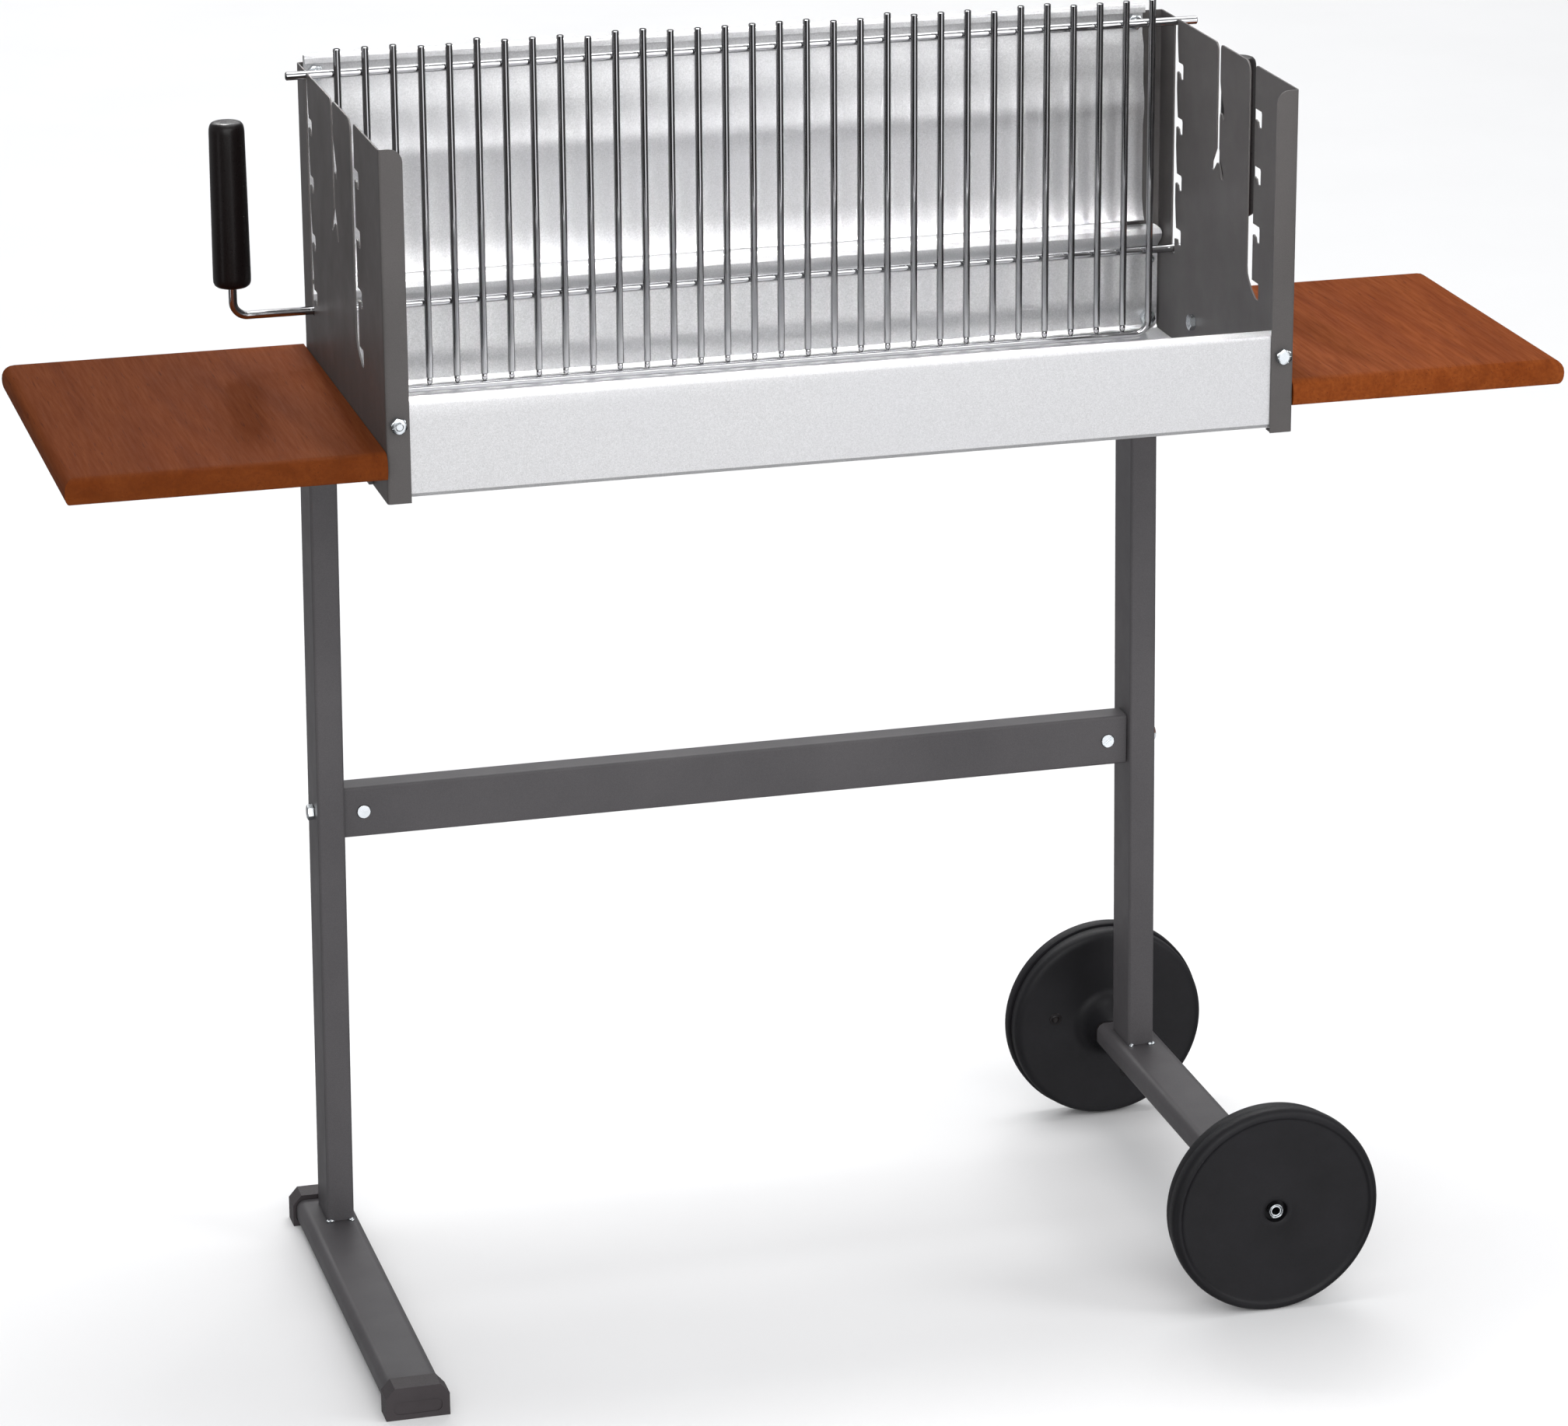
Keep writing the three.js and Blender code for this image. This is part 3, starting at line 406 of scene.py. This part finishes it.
bm = bmesh.new()
for i in range(1, BAR_COUNT - 1):
    x = LEFT + i * BAR_PITCH
    tube(bm, [(x, BAR_Y, BAR_FOOT_Z), (x, BAR_Y, bar_top(i))], BAR_RADIUS, BAR_CHAMFER)
frame_wire = [(LEFT, BAR_Y, bar_top(0))]
frame_wire += arc((LEFT + BEND, BAR_Y, RAIL_Z + BEND), (-BEND, 0, 0), (0, 0, -BEND))
frame_wire += arc((RIGHT - BEND, BAR_Y, RAIL_Z + BEND), (0, 0, -BEND), (BEND, 0, 0))
frame_wire.append((RIGHT, BAR_Y, bar_top(BAR_COUNT - 1)))
tube(bm, frame_wire, BAR_RADIUS, BAR_CHAMFER)
tube(bm, [(MID + side * TOP_WIRE["half"], TOP_WIRE["y"], TOP_WIRE["z"]) for side in (-1, 1)],
     TOP_WIRE["radius"], 0.6, 28)
for i in range(BAR_COUNT):
    x = LEFT + i * BAR_PITCH + chance.uniform(-0.2, 0.2)
    blob(bm, (x, TOP_WELD_Y, TOP_WIRE["z"]), (2.6, 0.9, 2.4))
    if 0 < i < BAR_COUNT - 1:
        blob(bm, (x, BAR_Y, FOOT_WELD_Z), (2.3, 2.1, 3.0))
piece("grate_bars_fine", mesh_of("grate_bars_fine", bm), CHROME, "grate", "chrome_wire",
      "grate_bars")

GRIPS = {"left": -364.0, "right": 369.0}
HANDLE_Y = TOP_WIRE["y"] + 0.7
HANDLE_END_Z = 844  # inside the grips
HANDLE_BEND_Z = 732
bm = bmesh.new()
handle = [(GRIPS["left"], HANDLE_Y, HANDLE_END_Z)]
handle += arc((GRIPS["left"] + BEND, HANDLE_Y, HANDLE_BEND_Z), (-BEND, 0, 0), (0, 0, -BEND))
handle += arc((GRIPS["right"] - BEND, HANDLE_Y, HANDLE_BEND_Z), (0, 0, -BEND), (BEND, 0, 0))
handle.append((GRIPS["right"], HANDLE_Y, HANDLE_END_Z))
tube(bm, handle, 2.9, 0.4, 28)
piece("grate_handle_fine", mesh_of("grate_handle_fine", bm), CHROME, "grate", "chrome_wire",
      "grate_handle_wire")

# Radius and height from the collar up to the smooth top, then down the wire's hole.
GRIP = [
    (3.2, 743), (8.5, 743), (10.6, 743.4), (12.2, 744.6), (13.0, 746.6), (13.15, 750),
    (13.0, 772), (12.75, 803), (12.5, 833), (12.3, 852), (12.1, 854.6), (11.5, 856.8),
    (10.3, 858.3), (8.8, 858.9), (6.0, 859.0), (0, 859.0), (0, 847), (3.2, 847),
]
for word, x in GRIPS.items():
    bm = bmesh.new()
    turned(bm, GRIP, Matrix.Translation((x * MM, HANDLE_Y * MM, 0)), 72)
    piece(f"grip_{word}_fine", mesh_of(f"grip_{word}_fine", bm, 50), BLACK, "grate",
          "black_plastic", f"grip_{word}")

# -------------------------------------------------------------------- wheels

# Radius and height of each shell, with height 0 at the wheel's outer face, growing inwards.
OUTER = [
    (4.1, 6.6), (4.1, 12.0), (14, 12.0), (14, 4.4), (70, 4.4), (73.5, 12.0), (76.8, 12.0),
    (77.5, 10.8), (77.5, 4.8), (77.2, 3.2), (76.4, 1.8), (75.1, 0.7), (73.6, 0.15), (72.2, 0.0),
    (71.2, 0.3), (70.7, 1.0), (69.8, 1.35), (68, 1.4), (20, 1.2), (13.6, 1.0), (12.6, 0.8),
    (9.4, 0.7), (8.6, 1.2), (8.4, 2.4), (8.4, 6.6),
]
INNER = [
    (4.1, 12.3), (4.1, 53.2), (5, 53.6), (12.2, 53.6), (13, 53.0), (14.5, 50), (15.8, 45),
    (17.4, 40), (19.3, 34.5), (21.8, 30), (24.8, 27.2), (27.6, 26.0), (30, 25.8), (66, 25.8),
    (69.4, 25.9), (72.2, 25.5), (74.2, 24.3), (75.3, 22.4), (75.5, 20), (75.5, 14),
    (74.9, 12.3), (71.5, 12.3), (71.5, 21.5), (14, 21.5), (14, 12.3),
]
AXLE_X, AXLE_Z = 319, 77.5
# Each wheel's outer face, the quarter turn that lays it down and its first screw's angle.
WHEELS = {"wheel_front": (-201, -90, 200), "wheel_rear": (205, 90, 170)}
SCREW_CIRCLE = 44
SCREW_SEAT = 25.8
SCREW_COLLAR = [(5.0, -0.2), (5.0, 0.2), (4.6, 0.5), (4.2, 0.5), (3.9, 0.1), (3.9, -0.2)]
SCREW_HEAD = [(0, 0.55), (1.8, 0.5), (2.8, 0.3), (3.3, -0.1), (0, -0.1)]

for body, (face, tilt, first_screw) in WHEELS.items():
    place = (Matrix.Translation(Vector((AXLE_X, face, AXLE_Z)) * MM)
             @ Matrix.Rotation(math.radians(tilt), 4, "X"))
    for half, profile in (("outer", OUTER), ("inner", INNER)):
        bm = bmesh.new()
        turned(bm, profile, place, 160)
        piece(f"{body}_{half}_fine", mesh_of(f"{body}_{half}_fine", bm, 40), WHEEL, body,
              "wheel_plastic", f"{body}_{half}")
    # Three dark screws, each in a low collar, hold the two shells together.
    for k in range(3):
        a = math.radians(first_screw + 120 * k)
        spot = place @ Matrix.Translation(Vector((
            SCREW_CIRCLE * math.cos(a), SCREW_CIRCLE * math.sin(a), SCREW_SEAT)) * MM)
        bm = bmesh.new()
        turned(bm, SCREW_COLLAR, spot, 40)
        turned(bm, SCREW_HEAD, spot, 32)
        piece(f"{body}_screw_{k}", mesh_of(f"{body}_screw_{k}", bm), BLACK, body, "wheel_plastic")

# ----------------------------------------------------------------- fasteners

APOTHEM = 5.0  # half the width across flats of an M6 head or nut
THREAD_RADIUS, THREAD_ROOT, THREAD_PITCH = 3.0, 2.62, 1.0


def along(at, axis):
    """Frame whose Z runs along the axis of a fastener, from where it seats."""
    aim = Vector(axis).to_track_quat("Z", "Y").to_matrix().to_4x4()
    return Matrix.Translation(Vector(at) * MM) @ aim


def hexagon(bm, place, height, turn):
    """Hexagon from its seat to its top, with the turned chamfer that rounds its corners."""
    count = 72
    rings = [[], [], [], []]
    for k in range(count):
        a = 2 * math.pi * k / count
        corner = APOTHEM / math.cos((a + math.pi / 6) % (math.pi / 3) - math.pi / 6)
        drop = max(0.0, corner - APOTHEM * 1.01) * 0.6
        for ring, (r, z) in zip(rings, (
                (corner, 0.0), (corner, height - 0.1 - drop),
                (min(corner, APOTHEM * 0.97), height), (APOTHEM * 0.55, height))):
            b = a + turn
            point = Vector((r * math.cos(b), r * math.sin(b), z)) * MM
            ring.append(bm.verts.new(place @ point))
    for low, high in zip(rings, rings[1:]):
        for k in range(count):
            m = (k + 1) % count
            bm.faces.new((low[k], low[m], high[m], high[k]))
    bm.faces.new(rings[-1])
    bm.faces.new(rings[0][::-1])


def shank(bm, place, low, high):
    """Threaded rod, its far end chamfered."""
    profile = [(0, low), (2.1, low), (2.7, low + 0.6)]
    z = low + 0.8
    while z < high - 1.0:
        profile += [(THREAD_RADIUS, z), (THREAD_RADIUS, z + 0.15),
                    (THREAD_ROOT, z + 0.5), (THREAD_ROOT, z + 0.6)]
        z += THREAD_PITCH
    turned(bm, [*profile, (2.7, high), (0, high)], place, 24)


def bolt(name, at, axis, head, length, turn=0.0):
    bm = bmesh.new()
    place = along(at, axis)
    hexagon(bm, place, head, turn)
    shank(bm, place, -length, 0.2)
    piece(f"{name}_fine", mesh_of(f"{name}_fine", bm, 30), ZINC, "trolley", "zinc", name)


def nut(name, at, axis, height, turn=0.0):
    bm = bmesh.new()
    hexagon(bm, along(at, axis), height, turn)
    piece(f"{name}_fine", mesh_of(f"{name}_fine", bm, 30), ZINC, "trolley", "zinc", name)


FORWARD, BACKWARD = (0, -1, 0), (0, 1, 0)
# Where heads and nuts seat: on the apron and its flanges, on the panels' rear flanges, and
# on the back of the legs.
APRON_IN, FLANGE_OUT, APRON_Z = -184.2, -187.3, 706
REAR_FLANGE_IN, REAR_FLANGE_OUT, LEG_BACK = 93.9, 97.3, 135.6
LEG_Z, PLATE_Z, SHELF_Z = 664, 883, 679
CROSSBAR_Y, CROSSBAR_Z = 114, 336

bolt("flange_bolt_left", (-300, APRON_IN, APRON_Z), BACKWARD, 4.0, 9.4)
nut("flange_nut_left", (-300, FLANGE_OUT, APRON_Z), FORWARD, 5.0, 0.25)
bolt("flange_bolt_right", (314, FLANGE_OUT, APRON_Z), FORWARD, 4.0, 10.1, 0.1)
nut("flange_nut_right", (314, APRON_IN, APRON_Z), BACKWARD, 5.0)
for word, leg_x, plate_x in (("left", -298, -296), ("right", 312, 299)):
    bolt(f"leg_bolt_{word}", (leg_x, LEG_BACK, LEG_Z), BACKWARD, 4.0, 48.7, 0.2)
    nut(f"leg_nut_{word}", (leg_x, REAR_FLANGE_IN, LEG_Z), FORWARD, 4.8, 0.35)
    bolt(f"plate_bolt_{word}", (plate_x, REAR_FLANGE_OUT, PLATE_Z), BACKWARD, 4.0, 10.4, 0.2)
    nut(f"plate_nut_{word}", (plate_x, REAR_FLANGE_IN, PLATE_Z), FORWARD, 4.8, 0.35)
for word, panel_x, leg_x, side in (("left", -306.5, -311.7, -1), ("right", 320.5, 325.7, 1)):
    for end, shelf_y in (("rear", 14.5), ("front", -105.0)):
        bolt(f"shelf_bolt_{word}_{end}", (panel_x, shelf_y, SHELF_Z), (-side, 0, 0),
             4.1, 29.5, 0.3)
    bolt(f"crossbar_bolt_{word}", (leg_x, CROSSBAR_Y, CROSSBAR_Z), (side, 0, 0), 4.1, 42.7, 0.3)

# --------------------------------------------------------------------- welds


def weld_spots(name, spots):
    """Small bright beads left by spot welding at the corners of a leg."""
    bm = bmesh.new()
    for x, y, z in spots:
        for _ in range(4):
            s = chance.uniform(1.2, 1.9)
            center = (x + chance.uniform(-1.9, 1.9), y + chance.uniform(-0.8, 0.4),
                      z + chance.uniform(-0.3, 0.8))
            blob(bm, center, (s, s, s * 0.8), 10)
    piece(name, mesh_of(name, bm, 60), ZINC, "trolley", "zinc")


LEG_FRONT, FOOT_TOP, AXLE_TUBE_TOP = 96.4, 21.0, 91.5
weld_spots("weld_left", [(MID - x, LEG_FRONT, FOOT_TOP) for x in (303.0, 319.0)])
weld_spots("weld_right", [(MID + x, LEG_FRONT, AXLE_TUBE_TOP) for x in (302.5, 318.5)])

# ---------------------------------------------- stage and camera, in metres


def floor():
    """A plain pale floor."""
    bm = bmesh.new()
    bmesh.ops.create_grid(bm, x_segments=2, y_segments=2, size=40)
    mesh = bpy.data.meshes.new("floor")
    bm.to_mesh(mesh)
    bm.free()
    obj = bpy.data.objects.new("floor", mesh)
    scene.collection.objects.link(obj)
    n = Nodes("floor")
    tone = n.ramp(n.noise(n.mapped(), 3.0), [(0.3, 0.86), (0.7, 0.88)])
    mesh.materials.append(n.finish(Base_Color=tone, Roughness=0.9))
    obj.visible_glossy = False  # the metal mirrors the studio around it, not this floor


floor()


def area(name, place, target, size, power, spread=180.0):
    """A rectangular light aimed at a target, its beam spread in degrees."""
    light = bpy.data.lights.new(name, "AREA")
    light.shape = "RECTANGLE"
    light.size, light.size_y = size
    light.energy = power
    light.spread = math.radians(spread)
    obj = bpy.data.objects.new(name, light)
    scene.collection.objects.link(obj)
    obj.location = place
    obj.rotation_euler = (Vector(target) - Vector(place)).to_track_quat("-Z", "Y").to_euler()


area("front", (-0.4, -4.4, 2.2), (0, 0, 0.5), (5.0, 3.4), 148)
area("fill", (2.8, -1.9, 2.0), (0.1, 0, 0.6), (1.2, 1.8), 30)
area("top", (0.0, 0.4, 3.8), (0, 0.1, 0.3), (3.0, 2.0), 70)
area("inside", (0.007, 1.7, 2.3), (0.007, -0.18, 0.70), (0.5, 0.3), 1.5, spread=16.0)
area("tray", (0.007, -0.50, 1.65), (0.007, 0.08, 0.68), (0.60, 0.1), 0.75, spread=14.0)
area("back", (0.5, 5.5, 4.5), (0, 3.4, 0), (6.0, 3.0), 170)

SKY = (0.432, 0.437, 0.45, 1.0)
CARD_STRENGTH = (1.55, 1.55, 1.57, 1.0)
# Round the object, from behind it (0) by its left and its front (0.5) back to behind (1).
CARDS = [
    (0.0, 0.21), (0.20, 0.21), (0.235, 0.06), (0.300, 0.02), (0.308, 1.0), (0.326, 1.0),
    (0.334, 0.02), (0.507, 0.02), (0.517, 1.0), (0.583, 1.0), (0.593, 0.02), (0.745, 0.02),
    (0.76, 0.56), (0.785, 0.56), (0.80, 0.10), (1.0, 0.21),
]


def studio():
    """Even light from above; below the horizon, a bright card in front of the object, two narrow
    ones beside it and dark gaps between them, which draw the lines along the polished wire."""
    world = bpy.data.worlds.new("world")
    scene.world = world
    world.use_nodes = True
    tree = world.node_tree
    shader = tree.nodes["Background"]
    shader.inputs["Strength"].default_value = 1.0
    new, link = tree.nodes.new, tree.links.new
    split = new("ShaderNodeSeparateXYZ")
    link(new("ShaderNodeTexCoord").outputs["Generated"], split.inputs[0])
    minus = new("ShaderNodeMath")
    minus.operation = "MULTIPLY"
    minus.inputs[1].default_value = -1.0
    link(split.outputs["Y"], minus.inputs[0])
    angle = new("ShaderNodeMath")
    angle.operation = "ARCTAN2"
    link(split.outputs["X"], angle.inputs[0])
    link(minus.outputs[0], angle.inputs[1])
    turn = new("ShaderNodeMapRange")
    turn.inputs["From Min"].default_value = -math.pi
    turn.inputs["From Max"].default_value = math.pi
    link(angle.outputs[0], turn.inputs["Value"])
    cards = new("ShaderNodeValToRGB")
    while len(cards.color_ramp.elements) < len(CARDS):
        cards.color_ramp.elements.new(0.5)
    for element, (place, value) in zip(cards.color_ramp.elements, CARDS):
        element.position = place
        element.color = (value, value, value * 1.01, 1.0)
    link(turn.outputs["Result"], cards.inputs["Fac"])
    lift = new("ShaderNodeMapRange")
    lift.interpolation_type = "SMOOTHSTEP"
    lift.inputs["From Min"].default_value = -0.03
    lift.inputs["From Max"].default_value = 0.04
    link(split.outputs["Z"], lift.inputs["Value"])
    bright = new("ShaderNodeMix")
    bright.data_type = "RGBA"
    bright.blend_type = "MULTIPLY"
    bright.clamp_result = False
    bright.inputs["Factor"].default_value = 1.0
    bright.inputs["B"].default_value = CARD_STRENGTH
    link(cards.outputs["Color"], bright.inputs["A"])
    both = new("ShaderNodeMix")
    both.data_type = "RGBA"
    both.inputs["B"].default_value = SKY
    link(lift.outputs["Result"], both.inputs["Factor"])
    link(bright.outputs["Result"], both.inputs["A"])
    link(both.outputs["Result"], shader.inputs["Color"])


studio()

EYE = (-0.98916, -3.69883, 1.70198)
YAW, PITCH, ROLL = 0.26411652, -0.32339491, -0.00646662  # radians, yaw from +Y towards +X
FOCAL_LENGTH, SENSOR_WIDTH = 129.874107, 36.0  # mm


def add_camera():
    data = bpy.data.cameras.new("camera")
    data.sensor_fit = "HORIZONTAL"
    data.sensor_width = SENSOR_WIDTH
    data.lens = FOCAL_LENGTH
    data.clip_end = 200
    camera = bpy.data.objects.new("camera", data)
    scene.collection.objects.link(camera)
    look = Vector((math.sin(YAW) * math.cos(PITCH), math.cos(YAW) * math.cos(PITCH),
                   math.sin(PITCH)))
    level = Vector((math.cos(YAW), -math.sin(YAW), 0))
    upright = level.cross(look)
    right = level * math.cos(ROLL) + upright * math.sin(ROLL)
    up = upright * math.cos(ROLL) - level * math.sin(ROLL)
    turn = Matrix((right, up, -look)).transposed().to_4x4()
    camera.matrix_world = Matrix.Translation(EYE) @ turn
    scene.camera = camera


add_camera()
scene.view_settings.view_transform = "Standard"
